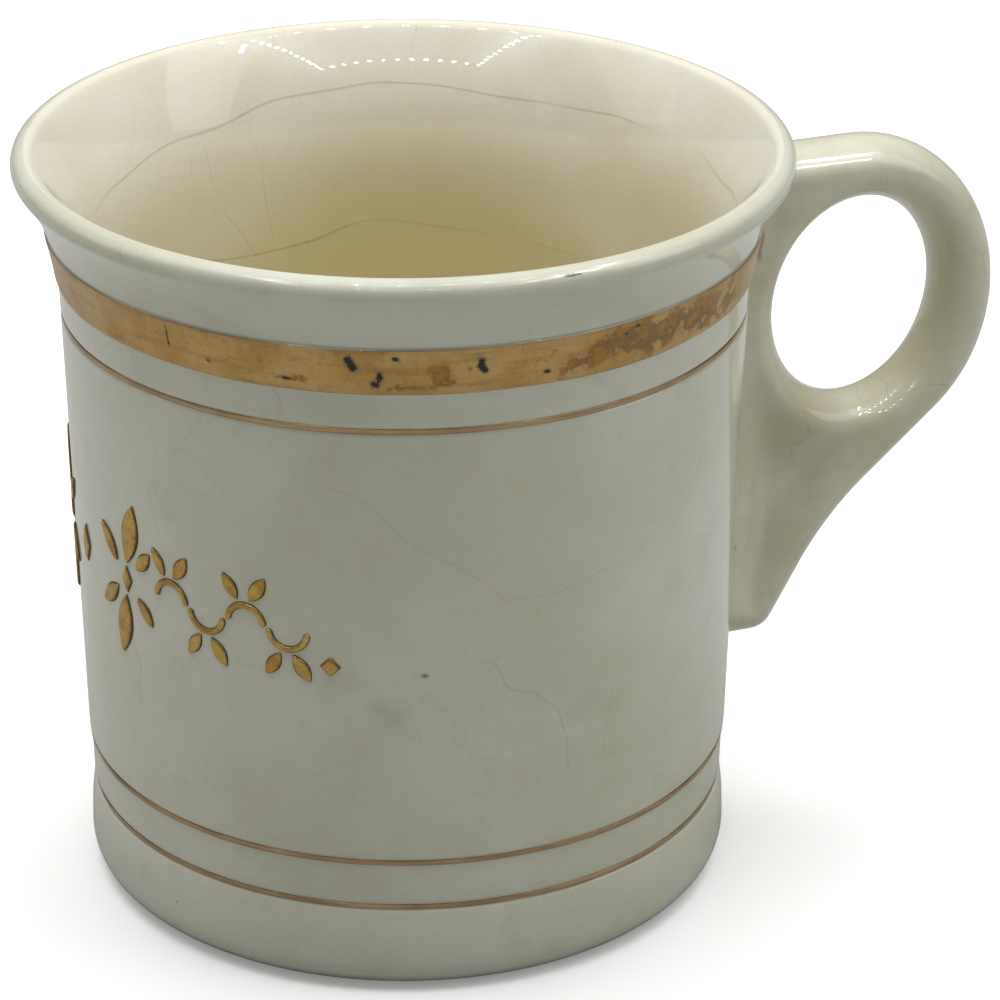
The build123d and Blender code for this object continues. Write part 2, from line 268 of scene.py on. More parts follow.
# %% The whole section, from the middle of the underside to the middle of the inside
def section_stretches():
    """Stretches of the section in order, each with its paint: 0 outside, 1 inside, 2 bare foot."""
    standing = foot_radius - foot_corner
    inner_lean = rim_lean - math.radians(2.0)
    lip_top = (lip_centre[0], height)
    lip_inner = lip_centre + lip_radius * np.array([-math.cos(inner_lean), math.sin(inner_lean)])
    bore = foot_wall_radius - wall_thickness
    slope = math.tan((inner_lean + wall_lean) / 2)
    inner_start = (lip_inner[0] - bore - slope * lip_inner[1]) / (rise - slope)
    corner_end = floor_top + inner_corner
    corner_radius = bore + rise * corner_end
    foot_lip = foot_radius - 0.25 * (foot_radius - groove(lower_line, waist_depth)[0, 0])
    step_foot = groove(upper_foot_line)[0] - (waist_depth, 0)
    return [
        (0, np.array([(0, foot_recess), (standing - foot_ring_width - foot_recess, foot_recess)])),
        (2, np.array([(standing - foot_ring_width, 0), (standing, 0)])),
        (0, tangent_arc((standing, 0), (foot_radius, foot_corner), math.pi / 2)),
        (0, np.array([(foot_lip, (foot_corner + lower_line) / 2)])),
        (0, groove(lower_line, waist_depth)),
        (0, np.concatenate([[step_foot], groove(upper_foot_line)[1:]])),
        (0, groove(upper_line)),
        (0, low_arc(flare_start, band_bottom)),
        (0, low_arc(band_bottom, band_top, band_ledge)),
        (0, low_arc(band_top, flare_joint)),
        (0, tangent_arc((flare_radius(flare_joint), flare_joint), lip_outer, joint_lean)),
        (0, tangent_arc(lip_outer, lip_top, rim_lean)),
        (1, tangent_arc(lip_top, lip_inner, -math.pi / 2)),
        (1, tangent_arc(lip_inner, (bore + rise * inner_start, inner_start), inner_lean - math.pi)),
        (1, tangent_arc(
            (corner_radius, corner_end), (corner_radius - inner_corner, floor_top), wall_lean - math.pi
        )),
        (1, np.array([(0, floor_top)])),
    ]


def along(points):
    """Distance along a chain of points."""
    steps = np.hypot(*np.diff(points, axis=0).T)
    return np.concatenate([[0], np.cumsum(steps)])


def glaze_softened(points, paint, spacing=0.05, softness=0.14, underside=30.0):
    """The chain in even steps, averaged by a bell curve of that half width.

    Its two ends are kept, and the flat underside that it starts with keeps its height.
    """
    distance = along(points)
    keep = np.concatenate([[True], np.diff(distance) > 1e-9])
    points, paint, distance = points[keep], paint[keep], distance[keep]
    even = np.linspace(0, distance[-1], int(distance[-1] / spacing))
    fine = np.stack([np.interp(even, distance, column) for column in points.T], axis=1)
    reach = int(4 * softness / spacing)
    bell = np.exp(-0.5 * (np.arange(-reach, reach + 1) * spacing / softness) ** 2)
    padded = np.pad(fine, ((reach, reach), (0, 0)), mode="edge")
    soft = np.stack([np.convolve(column, bell / bell.sum(), "valid") for column in padded.T], axis=1)
    soft[:, 1] = np.where(even < underside, fine[:, 1], soft[:, 1])
    soft[[0, -1]] = fine[[0, -1]]
    return soft, np.interp(even, distance, paint)


def spend_where_curved(points, paint, rows, longest=2.6, small_turn=math.radians(7.0)):
    """That many rows of the chain, spread as one per longest step plus one per small turn."""
    heading = np.unwrap(np.arctan2(*np.diff(points, axis=0).T))
    turning = np.abs(np.gradient(heading))
    turning = np.concatenate([turning, turning[-1:]])
    step = np.diff(along(points), prepend=0)
    need = np.cumsum(step / longest + turning / small_turn)
    index = np.arange(len(points))
    picks = np.interp(np.linspace(need[0], need[-1], rows), need, index)
    chosen = np.stack([np.interp(picks, index, column) for column in points.T], axis=1)
    return chosen, np.interp(picks, index, paint)


stretches = section_stretches()
raw_section = np.concatenate([points for _, points in stretches])
raw_paint = np.concatenate([np.full(len(points), float(paint)) for paint, points in stretches])
fine_section, fine_paint = glaze_softened(raw_section, raw_paint)
section_rows = 268
section, section_paint = spend_where_curved(fine_section, fine_paint, section_rows)
print("section:", len(fine_section), "fine points,", round(along(section)[-1], 1), "mm long")

# %% [markdown]
# ## The cup
# The section turned round the axis: each row of the section becomes one ring. The first and the
# last row lie just beside the axis, so the fans that shut them are tiny. Two paints go with the
# points: how far a point is inside the cup, and where the foot is bare of glaze.

# %% Turn the cup
cup_columns, beside_axis = 352, 0.02
cup_angles = np.linspace(0, 2 * math.pi, cup_columns, endpoint=False)
section[[0, -1], 0] = beside_axis
cup_rings = around_axis(section[:, :1], cup_angles, section[:, 1:])
inside_paint = np.repeat(np.clip(section_paint, 0, 1) * (section_paint < 1.5), cup_columns)
inside_paint = np.append(inside_paint, [0, 1])
bare_paint = np.append(np.repeat(np.clip(section_paint - 1, 0, 1), cup_columns), [0, 0])
cup = make_piece(
    "cup",
    [skin(cup_rings)],
    "mug_body",
    {"inside": inside_paint, "bare_foot": bare_paint},
)

# %% [markdown]
# ## The handle
# The handle was cast in a two-part mould, so it is a plate with a soft edge: a finger ring, an arm
# under the lip, and a spine that runs down to a small tail, with a shallow dish on each side where
# the three meet. A remesh would melt the dish away. A ring-shaped surface keeps it: it goes round
# the finger hole one way, and round the section the other way, from the hole's edge to the outer
# edge and back on the other side.

# %% Measures of the handle
handle_low, handle_high = frame_box("handle")
tube_half, half_width = 3.78, handle_high[1]
ring_half_height, ring_half_reach = 17.07, 15.08
ring_centre = np.array([
    handle_high[0] - tube_half - ring_half_reach,
    handle_high[2] - tube_half - ring_half_height,
])
spine_angle, spine_run, spine_bend = math.radians(-52.0), 19.3, 40.0
tail_radius, tail_from_wall, tail_wall_height = 3.9, 5.75, 24.9
tail_centre = np.array([wall_radius(tail_wall_height) + tail_from_wall, handle_low[2] + tail_radius])
root_sink = 1.3
outside = fine_section[(fine_paint < 0.5) & (fine_section[:, 1] > 0.5) & (fine_section[:, 0] > 38)]
outside = outside[: np.argmax(outside[:, 0])]


def outside_radius(z):
    """Radius of the cup's outside at a height, read from its own section."""
    return np.interp(z, outside[:, 1], outside[:, 0])


def ring_axes(out):
    """Half axes of the ring, a distance out from its centreline's own."""
    return np.array([ring_half_reach + out, ring_half_height + out])


def on_ring(angle, out):
    """Point of the ring at an angle, a distance out from its centreline."""
    return ring_centre + ring_axes(out) * circle(angle)


# %% The handle's side view
def span(start, end, count):
    """Straight run of points from start up to, but not including, end."""
    share = np.linspace(0, 1, count, endpoint=False)[:, None]
    return np.array(start) * (1 - share) + np.array(end) * share


def side_view():
    """Outer edge of the side view, anticlockwise from the ring's outermost point, as stretches.

    Each stretch is (its points, the hole's angle at its start in degrees). The third one is the
    root: it follows the wall, a little inside it, and it is the only one whose edge isn't rounded.
    """
    top = on_ring(math.pi / 2, tube_half)
    top_left = np.array([outside_radius(top[1]) - root_sink, top[1]])
    tail_bottom = tail_centre - (0, tail_radius)
    root_bottom = np.array([outside_radius(tail_bottom[1]) - root_sink, tail_bottom[1]])
    leave = on_ring(spine_angle, tube_half)
    down = unit(ring_axes(tube_half) * (math.sin(spine_angle), -math.cos(spine_angle)))
    knee = leave + spine_run * down
    away = knee - tail_centre
    touch_angle = math.atan2(away[1], away[0]) - math.acos(tail_radius / np.hypot(*away))
    touch = tail_centre + tail_radius * circle(touch_angle)
    onward = unit(touch - knee)
    setback = spine_bend * math.tan(math.acos(down @ onward) / 2)
    bend_in, bend_out = knee - down * setback, knee + onward * setback
    bend = tangent_arc(bend_in, bend_out, math.atan2(down[0], down[1]), 31)[::-1]
    root_z = np.linspace(top_left[1], root_bottom[1], 91)[:-1]
    root = np.stack([outside_radius(root_z) - root_sink, root_z], axis=1)
    upper_turns = np.linspace(0, math.pi / 2, 60, endpoint=False)
    lower_turns = np.linspace(spine_angle, 0, 36, endpoint=False)
    tail_turns = np.linspace(-math.pi / 2, touch_angle, 22, endpoint=False)
    return [
        (on_ring(upper_turns, tube_half), 0),
        (span(top, top_left, 44), 90),
        (root, 126),
        (span(root_bottom, tail_bottom, 20), 232),
        (tail_centre + tail_radius * circle(tail_turns), 244),
        (span(touch, bend_out, 10), 256),
        (bend[:-1], 262),
        (span(bend_in, leave, 22), 288),
        (on_ring(lower_turns, tube_half), 308),
    ]


def distance_to_chain(points, chain, blocks=40):
    """Least distance from each point to a chain's segments, by dropping a foot on every segment."""
    starts, runs = chain[:-1], np.diff(chain, axis=0)
    lengths = (runs**2).sum(axis=1)
    best = np.full(len(points), np.inf)
    for block in np.array_split(np.arange(len(points)), blocks):
        offsets = points[block, None] - starts
        share = np.clip((offsets * runs).sum(axis=2) / lengths, 0, 1)
        gaps = offsets - share[..., None] * runs
        best[block] = np.sqrt((gaps**2).sum(axis=2)).min(axis=1)
    return best


def distance_from_hole(points, rounds=12):
    """How far out from the hole's ellipse a point lies: the growth of both axes that reaches it."""
    x, z = (points - ring_centre).T
    grown = np.full(len(points), tube_half)
    for _ in range(rounds):
        a, b = ring_half_reach - tube_half + grown, ring_half_height - tube_half + grown
        value = (x / a) ** 2 + (z / b) ** 2 - 1
        grown = np.maximum(grown + value / (2 * (x**2 / a**3 + z**2 / b**3)), 0)
    return grown


def smooth(value, low, high):
    """0 below low, 1 above high, and 3t^2 - 2t^3 between."""
    t = np.clip((value - low) / (high - low), 0, 1)
    return t * t * (3 - 2 * t)


# %% Carry the section round the hole
dish_from_hole, dish_from_edge, dish_from_wall = (2.6, 10.5), (2.2, 9.0), (1.0, 8.0)


def handle_rings(half_steps=56, dish=2.6):
    """Rings of the handle's sections, one for each point of the side view's outer edge.

    Across a section the place is w = (1 - cos t) / 2, from the hole to the outer edge. The half
    thickness is the half width times sqrt(1 - (1 - d/e)^2), a quarter ellipse over the first
    e = tube_half from either edge, less the dish, which is a product of three smooth steps: away
    from the hole, away from the outer edge and away from the wall.
    """
    stretches = side_view()
    outer = np.concatenate([points for points, _ in stretches])
    counts = [len(points) for points, _ in stretches]
    starts = [angle for _, angle in stretches] + [360]
    hole_angles = np.radians(np.concatenate([
        np.linspace(low, high, count, endpoint=False)
        for count, low, high in zip(counts, starts, starts[1:])
    ]))
    hole = on_ring(hole_angles, -tube_half)
    root_end = sum(counts[:3])
    free_edge = np.roll(outer, -root_end, axis=0)[: len(outer) - counts[2] + 1]
    t = np.linspace(0, math.pi, half_steps + 1)
    w = (1 - np.cos(t)) / 2
    flat = hole[:, None] * (1 - w)[None, :, None] + outer[:, None] * w[None, :, None]
    places = flat.reshape(-1, 2)
    from_hole = distance_from_hole(places)
    from_edge = distance_to_chain(places, free_edge)
    from_wall = places[:, 0] - outside_radius(places[:, 1])
    depth = np.clip(np.minimum(from_hole, from_edge) / tube_half, 0, 1)
    thickness = half_width * np.sqrt(1 - (1 - depth) ** 2)
    hollow = smooth(from_hole, *dish_from_hole) * smooth(from_edge, *dish_from_edge)
    hollow *= smooth(from_wall, *dish_from_wall)
    thickness = (thickness - dish * hollow).reshape(len(outer), -1)
    thickness[:, [0, -1]] = 0
    near = np.stack([flat[..., 0], -thickness, flat[..., 1]], axis=-1)
    far = np.stack([flat[..., 0], thickness, flat[..., 1]], axis=-1)[:, -2:0:-1]
    return np.concatenate([near, far], axis=1)


handle = make_piece("cast_handle", [skin(handle_rings(), closed=True)], "handle")

# %% [markdown]
# ## The slip joint
# The handle is stuck on with slip, and what squeezes out is wiped to a small hollow fillet that
# the glaze then fills. It is a profile carried along the line where the handle meets the wall.

# %% Carry the fillet round the handle's root
def footprint(side_points=170, end_points=40):
    """Line where the handle meets the wall: (across, height), a tall shape with elliptic ends."""
    top, bottom = handle_high[2] - tube_half, handle_low[2] + tube_half
    half_turn = (half_width, tube_half) * circle(np.linspace(0, math.pi, end_points, endpoint=False))
    up, step = np.linspace(bottom, top, side_points, endpoint=False, retstep=True)
    right = np.stack([np.full(side_points, half_width), up], axis=1)
    left = np.stack([np.full(side_points, -half_width), up[::-1] + step], axis=1)
    return np.concatenate([right, (0, top) + half_turn, left, (0, bottom) - half_turn])


def fillet_rings(size=0.9, steps=10, sink=0.35):
    """Rings of the fillet's section: C + size (a (1 - sin t) + b (1 - cos t)) for t up to 90 degrees.

    C is the footprint on the wall, a runs along the wall away from it and b runs out along the
    handle. The curve touches both surfaces, and three points sunk in wall and handle close it.
    """
    y, z = footprint().T
    radius = outside_radius(z)
    corner = np.stack([np.sqrt(radius**2 - y**2), y, z], axis=1)
    lean = np.gradient(outside_radius(np.stack([z - 0.2, z, z + 0.2])), 0.2, axis=0)[1]
    normal = unit(np.stack([corner[:, 0] / radius, corner[:, 1] / radius, -lean], axis=1))
    forward = np.roll(corner, -1, axis=0) - np.roll(corner, 1, axis=0)
    away = unit(np.cross(forward, normal))
    centre = np.array([corner[:, 0].mean(), 0, corner[:, 2].mean()])
    away *= np.sign(((corner - centre) * away).sum(axis=1).mean())
    out = np.array([1.0, 0.0, 0.0])
    t = np.linspace(0, math.pi / 2, steps)[None, :, None]
    face = corner[:, None] + size * (away[:, None] * (1 - np.sin(t)) + out * (1 - np.cos(t)))
    sunk = [
        corner + out * size * 0.9 - away * sink,
        corner - away * sink - normal * sink,
        corner + away * size * 0.9 - normal * (sink - 0.05),
    ]
    return np.concatenate([face, np.stack(sunk, axis=1)], axis=1)


slip = make_piece("slip_fillet", [skin(fillet_rings(), closed=True)], "handle_slip_joint")

# %% [markdown]
# ## Bands and lines of gold
# Liquid gold is brushed on while the mug turns on a wheel. It is far thinner than a hair, and here
# it gets a tenth of a millimetre so that it is a solid of its own. Each run is a flat section with
# rounded edges carried round the wall, and it stops at the handle. Its long edges wander a little,
# as a brush does.

# %% Carry a gilt section round the mug
gap_half_width = half_width + 1.2
gilt_thickness, gilt_sink = 0.1, 0.05


def gilt_rings(low_edge, high_edge, surface, columns, across, wander=0.04):
    """Rings of a gilt run, from one side of the handle round to the other.

    The section's place is v = cos t, from one edge to the other; the face stands out by the
    thickness times (1 - v^8), which is flat with a rounded edge. The edges move by a sum of two
    sines round the mug.
    """
    middle, half = (low_edge + high_edge) / 2, (high_edge - low_edge) / 2
    gap = math.asin(gap_half_width / surface(middle))
    angles = np.linspace(gap, 2 * math.pi - gap, columns)[:, None]
    t = np.linspace(0, 2 * math.pi, 2 * across, endpoint=False)[None, :]
    v = np.cos(t)
    drift = wander * (np.sin(7 * angles + 1.3) + 0.6 * np.sin(19 * angles + 0.4)) / 1.6
    edge = wander * (np.sin(11 * angles) * 0.5 + 0.5)
    z = middle + drift + v * (half - edge - wander)
    stand = np.where(np.sin(t) > 1e-9, gilt_thickness * (1 - v**8), -gilt_sink)
    return around_axis(surface(z) + stand, angles, z)


def round_and_across(rings, middle_z, half):
    """Paints of a gilt run: distance round the mug in mm, and place across it from -1 to 1."""
    angles = np.mod(np.arctan2(rings[..., 1], rings[..., 0]), 2 * math.pi)
    round_mm = angles * np.hypot(rings[..., 0], rings[..., 1]).mean()
    place = (rings[..., 2] - middle_z) / half
    ends = np.array([round_mm[0].mean(), round_mm[-1].mean()])
    return np.append(round_mm.ravel(), ends), np.append(place.ravel(), [0, 0])


def band_seat(z):
    """Radius of the ledge that the broad band lies on."""
    return flare_radius(z, band_ledge)


band_middle, band_half = (band_bottom + band_top) / 2, (band_top - band_bottom) / 2
band_rings = gilt_rings(band_bottom, band_top, band_seat, columns=900, across=40)
band_round, band_place = round_and_across(band_rings, band_middle, band_half)

# %% [markdown]
# Gold wears where fingers and the brush rub it. The big losses on the band are places that a
# person would point at, so they are painted on its points as soft spots. The finish then frays
# their edges with noise.

# %% Worn places on the band
def spots(round_mm, place, marks):
    """Sum of soft spots exp(-d^2).

    Each mark is (angle round the mug, place across, half length in mm, half height, strength).
    """
    total = np.zeros(len(round_mm))
    mm_per_radian = round_mm.max() / (2 * math.pi - math.asin(gap_half_width / band_seat(band_bottom)))
    for angle, where, half_length, half_height, strength in marks:
        dx = (round_mm - math.radians(angle % 360) * mm_per_radian) / half_length
        dy = (place - where) / half_height
        total += strength * np.exp(-(dx**2) - dy**2)
    return total


pits = [
    (-118.6, 0.5, 0.55, 0.26, 1.0), (-117.8, 0.2, 0.45, 0.2, 1.0), (-114.6, -0.5, 0.5, 0.2, 1.0),
    (-113.9, -0.15, 0.4, 0.24, 1.0), (-111.6, 0.62, 0.42, 0.12, 0.95), (-98.6, 0.3, 0.5, 0.34, 1.0),
    (-98.0, -0.02, 0.34, 0.14, 0.8), (-88.0, -0.42, 0.5, 0.1, 0.85), (-72.5, 0.72, 0.7, 0.09, 0.85),
    (-74.5, 0.5, 0.4, 0.1, 0.8), (-128.5, -0.5, 1.2, 0.08, 0.85), (-149.0, 0.3, 0.16, 0.6, 0.8),
    (-141.5, -0.35, 0.3, 0.1, 0.8), (42.0, 0.3, 0.6, 0.2, 0.9), (131.0, -0.3, 0.6, 0.2, 0.9),
]
rubs = [
    (-111.0, -0.6, 3.2, 0.3, 0.95), (-105.0, 0.0, 1.6, 0.5, 1.0), (-103.0, -0.5, 1.4, 0.3, 0.9),
    (-92.0, -0.4, 1.7, 0.4, 0.9), (-83.0, -0.45, 2.6, 0.5, 1.0), (-77.0, 0.3, 4.4, 0.6, 1.0),
    (-71.0, -0.1, 3.8, 0.9, 1.0), (-63.0, 0.1, 4.4, 0.9, 1.0), (-55.0, -0.1, 4.0, 0.9, 1.0),
    (-47.0, 0.0, 3.0, 0.9, 0.9), (-126.0, -0.5, 1.6, 0.3, 0.7), (-137.0, 0.3, 3.0, 0.3, 0.5),
    (-100.5, 0.1, 0.9, 0.2, 0.6), (60.0, 0.2, 5.0, 0.5, 0.9), (108.0, -0.2, 4.0, 0.6, 0.8),
    (150.0, 0.1, 5.5, 0.5, 0.8), (-150.0, 0.2, 3.0, 0.3, 0.5),
]
band_paints = {
    "round_mm": band_round,
    "place": band_place,
    "pits": spots(band_round, band_place, pits),
    "rubs": spots(band_round, band_place, rubs),
}
band = make_piece("gilt_band", [skin(band_rings)], "broad_gilt_band", band_paints)

# %% The three thin lines
def gilt_line(name, node, middle, step):
    """A thin gilt line on the floor of its groove, where the wall is set in by step."""
    half = groove_floor_half

    def seat(z):
        """Radius just above the groove's floor, where the glaze has pooled."""
        return wall_radius(z) - step - groove_depth * 0.8

    rings = gilt_rings(middle - half, middle + half, seat, columns=560, across=7, wander=0.02)
    round_mm, place = round_and_across(rings, middle, half)
    return make_piece(name, [skin(rings)], node, {"round_mm": round_mm, "place": place})


lines = [
    gilt_line("gilt_line_under_band", "upper_gilt_line", upper_line, 0.0),
    gilt_line("gilt_line_at_waist", "foot_gilt_line_upper", upper_foot_line, 0.0),
    gilt_line("gilt_line_at_foot", "foot_gilt_line_lower", lower_line, waist_depth),
]

# %% [markdown]
# ## The raised gilt frieze
# The front carries an ornament in raised paste under gold: a middle lozenge, tall leaves, and a
# running vine to each side. It is drawn flat, in millimetres along and up from its middle, each
# shape as rings along its own axis, and then wrapped on the wall. Each shape has a crowned face
# and steep sides, which is how raised paste looks under its gold.

# %% Flat relief shapes
frieze_height = sum(corner[2] for corner in frame_box("gilt_stems")) / 2
wall_at_frieze = wall_radius(frieze_height)
relief = 0.33
section_turns = np.linspace(0, 2 * math.pi, 20, endpoint=False)
across_section = np.cos(section_turns)
on_face = np.sin(section_turns) > 1e-9


def relief_rings(centres, headings, half_widths, full_at, vein=0.0):
    """Rings (along, up, out) of a relief stroke that follows centres at those headings.

    The face stands out by crown (1 - v^4) (1 - vein exp(-(v / 0.25)^2)) across v from -1 to 1. The
    crown is the whole relief where the stroke's half width is full_at or more, and the back lies
    a little inside the wall.
    """
    crown = relief * np.minimum(1, half_widths / full_at) ** 0.5
    sideways = np.stack([-np.sin(headings), np.cos(headings)], axis=1)
    flat = centres[:, None] + (half_widths[:, None] * across_section)[..., None] * sideways[:, None]
    face = (1 - across_section**4) * (1 - vein * np.exp(-((across_section / 0.25) ** 2)))
    out = np.where(on_face, face, -0.4) * np.where(on_face, crown[:, None], 0.3)
    return np.concatenate([flat, out[..., None]], axis=2)


def leaf(length, width):
    """A pointed leaf along +x: its half width is (W / 2) 4 u (1 - u), and it has a sunk vein."""
    u = (1 - np.cos(np.linspace(0, math.pi, 26))) / 2
    u = 0.004 + 0.992 * u
    half_widths = width / 2 * 4 * u * (1 - u)
    centres = np.stack([length * u, 0 * u], axis=1)
    return relief_rings(centres, 0 * u, half_widths, full_at=0.35, vein=0.4)


def lozenge(width, tall):
    """A lozenge about the origin, with its long axis up: its half width is (W / 2)(1 - |q|)."""
    q = np.linspace(-0.99, 0.99, 31)
    half_widths = width / 2 * (1 - np.abs(q))
    centres = np.stack([0 * q, tall / 2 * q], axis=1)
    return relief_rings(centres, np.full(len(q), math.pi / 2), half_widths, full_at=0.5)


def curl(radius, start, sweep, width=0.9):
    """A stem along an arc about the origin, in degrees: full width, with rounded ends."""
    end = width / 2
    first, last = math.radians(start) - end / radius, math.radians(start + sweep) + end / radius
    angles = np.linspace(first, last, 44)
    from_end = np.minimum(angles - first, last - angles) * radius
    half_widths = end * np.sqrt(1 - (1 - np.clip(from_end / end, 0.02, 1)) ** 2)
    return relief_rings(radius * circle(angles), angles + math.pi / 2, half_widths, full_at=0.3)


# %% Lay the shapes on the wall
def lay(rings, along_mm, up_mm, turn, mirrored):
    """Flat rings, turned in degrees and placed in the frieze, wrapped on the leaning wall."""
    angle = math.radians(turn)
    x = rings[..., 0] * math.cos(angle) - rings[..., 1] * math.sin(angle) + along_mm
    z = rings[..., 0] * math.sin(angle) + rings[..., 1] * math.cos(angle) + up_mm
    x = -x if mirrored else x
    z = z + frieze_height
    return around_axis(wall_radius(z) + rings[..., 2], math.pi + x / wall_at_frieze, z)


def both_sides(rings, places):
    """Skins of one shape at each (along, up, turn), and mirrored about the frieze's middle."""
    return [skin(lay(rings, *place, mirrored)) for place in places for mirrored in (False, True)]


def edge_paint(skins):
    """How near a point is to its stroke's edge, from 0 along the middle to 1 at the side."""
    one_ring = np.where(on_face, np.abs(across_section), 1.0)
    rings = [(len(points) - 2) // len(one_ring) for points, _, _ in skins]
    return np.concatenate([np.append(np.tile(one_ring, count), [1, 1]) for count in rings])


# %% The frieze
vine_start, vine_pitch, vine_count, curl_radius = 19.4, 5.3, 4, 2.3
leaf_up = curl_radius + 0.6
flips = [1 if step % 2 == 0 else -1 for step in range(vine_count)]


def vine_places(offset, up, turn):
    """Places along the vine, alternately above and below its stem."""
    return [
        (vine_start + offset + step * vine_pitch, flip * up, flip * turn)
        for step, flip in enumerate(flips)
    ]


stems = []
for flip, (where, _, _) in zip(flips, vine_places(0, 0, 0)):
    stems += both_sides(curl(curl_radius, 102 - 90 * flip, 156), [(where, 0, 0)])
leaf_groups = [
    ((8.2, 3.4), [(11.5, 2.0, 78), (11.0, -2.2, -100)]),
    ((5.2, 2.3), [(9.4, 1.6, 130), (9.3, -1.6, 222)]),
    ((3.9, 2.0), [(13.4, 1.8, 48), (13.4, -1.8, -48)]),
    ((3.9, 2.0), vine_places(0.6, leaf_up, 58)),
    ((3.6, 1.8), vine_places(-0.9, leaf_up, 122)),
]
leaves = [one for size, places in leaf_groups for one in both_sides(leaf(*size), places)]
lozenges = both_sides(lozenge(2.6, 2.6), [(40.3, -3.9, 0)])
lozenges += both_sides(lozenge(2.2, 3.6), [(11.3, -0.1, 0)])
lozenges += [skin(lay(lozenge(3.0, 5.0), 0, 0, 0, False))]
frieze = [
    make_piece(f"frieze_{kind}", shapes, f"gilt_{kind}", {"edge": edge_paint(shapes)})
    for kind, shapes in (("stems", stems), ("leaves", leaves), ("lozenges", lozenges))
]

# %% [markdown]
# ## Shader maths as expressions
# A finish is a graph of nodes, and a graph built call by call is hard to read. The class below
# wraps one output socket, so that a + b, 1 - mask and a * 0.5 add the Math nodes by themselves.
# Any other node comes from a method of the finish.

# %% Sockets with operators
def operator(operation, turned=False):
    """A method that adds a Math node; turned puts the other operand first."""

    def method(self, other):
        pair = (other, self) if turned else (self, other)
        return self.finish.maths(operation, *pair)

    return method


class Wire:
    """One output socket of a finish. Arithmetic on it adds Math nodes."""

    __add__, __radd__ = operator("ADD"), operator("ADD", True)
    __sub__, __rsub__ = operator("SUBTRACT"), operator("SUBTRACT", True)
    __mul__, __rmul__ = operator("MULTIPLY"), operator("MULTIPLY", True)
    __truediv__, __pow__ = operator("DIVIDE"), operator("POWER")

    def __init__(self, finish, socket):
        self.finish = finish
        self.socket = socket

    def sibling(self, output):
        """Another output of the same node."""
        return Wire(self.finish, self.socket.node.outputs[output])

    def smooth(self, low, high):
        """0 at low, 1 at high and smooth between. low may be above high, which turns it over."""
        return self.finish.node(
            "ShaderNodeMapRange",
            {"interpolation_type": "SMOOTHSTEP"},
            {"Value": self, "From Min": low, "From Max": high, "To Min": 0.0, "To Max": 1.0},
        )


class Finish:
    """A node material: one shader, and methods that add the nodes before it.

    Its place is the point's own place in the mug, in metres.
    """

    def __init__(self, name):
        self.material = bpy.data.materials.new(name)
        self.material.use_nodes = True
        self.tree = self.material.node_tree
        self.tree.nodes.clear()
        self.output = self.tree.nodes.new("ShaderNodeOutputMaterial")
        self.place = self.node("ShaderNodeTexCoord", output="Object")

    def node(self, kind, settings=None, sockets=None, output=0):
        """Adds a node, sets its settings, then its sockets by name or number, and gives an output."""
        made = self.tree.nodes.new(kind)
        for key, value in (settings or {}).items():
            setattr(made, key, value)
        for key, value in (sockets or {}).items():
            if isinstance(value, Wire):
                self.tree.links.new(value.socket, made.inputs[key])
            else:
                made.inputs[key].default_value = value
        return Wire(self, made.outputs[output])

    def maths(self, operation, first, second):
        """A Math node of two numbers."""
        return self.node("ShaderNodeMath", {"operation": operation}, {0: first, 1: second})

    def vector(self, operation, *operands, output="Vector"):
        """A Vector Math node. Its output is "Value" where the result is one number."""
        sockets = dict(enumerate(operands))
        return self.node("ShaderNodeVectorMath", {"operation": operation}, sockets, output)

    def height(self):
        """The place's height in metres."""
        return self.node("ShaderNodeSeparateXYZ", None, {"Vector": self.place}, "Z")

    def paint(self, name):
        """A paint that was laid on the mesh's points."""
        return self.node("ShaderNodeAttribute", {"attribute_name": name}, output="Fac")

    def noise(self, size_mm, detail=3.0, roughness=0.55, output="Fac", place=None):
        """Noise whose lumps are about size_mm across."""
        sockets = {"Vector": place or self.place, "Scale": 1.0 / (size_mm * MM)}
        sockets.update({"Detail": detail, "Roughness": roughness})
        return self.node("ShaderNodeTexNoise", None, sockets, output)

    def cells(self, size_mm, feature, place=None):
        """Distance in cells about size_mm across: from their points (F1) or to their edges."""
        sockets = {"Vector": place or self.place, "Scale": 1.0 / (size_mm * MM)}
        return self.node("ShaderNodeTexVoronoi", {"feature": feature}, sockets, "Distance")

    def warped(self, size_mm, detail, roughness, reach_mm):
        """The place, moved by noise of that size through up to reach_mm."""
        moves = self.noise(size_mm, detail, roughness, "Color")
        return self.vector("MULTIPLY_ADD", moves, (reach_mm * MM,) * 3, self.place)

    def blend(self, share, first, second):
        """Colour that goes from first to second as share goes from 0 to 1."""
        return self.node(
            "ShaderNodeMix", {"data_type": "RGBA"}, {"Factor": share, 6: first, 7: second}, 2
        )

    def tinted(self, colour, *tints):
        """The colour with tones laid over it in turn. Each tint is (share, red, green, blue)."""
        for share, *tone in tints:
            colour = self.blend(share, colour, shade(*tone))
        return colour

    def relief(self, height_mm):
        """Normal of a surface that stands up by height_mm."""
        sockets = {"Strength": 1.0, "Distance": MM, "Height": height_mm}
        return self.node("ShaderNodeBump", None, sockets, "Normal")

    def surface(self, **sockets):
        """The shader itself, from socket names with _ for a space, linked to the output."""
        named = {key.replace("_", " "): value for key, value in sockets.items()}
        shader = self.node("ShaderNodeBsdfPrincipled", None, named)
        self.tree.links.new(shader.socket, self.output.inputs["Surface"])
        return self.material


def shade(red, green, blue):
    """Colour by its screen values from 0 to 255, as the shader's linear values."""
    linear = [
        v / 12.92 if v <= 0.04045 else ((v + 0.055) / 1.055) ** 2.4
        for v in (red / 255, green / 255, blue / 255)
    ]
    return (*linear, 1.0)


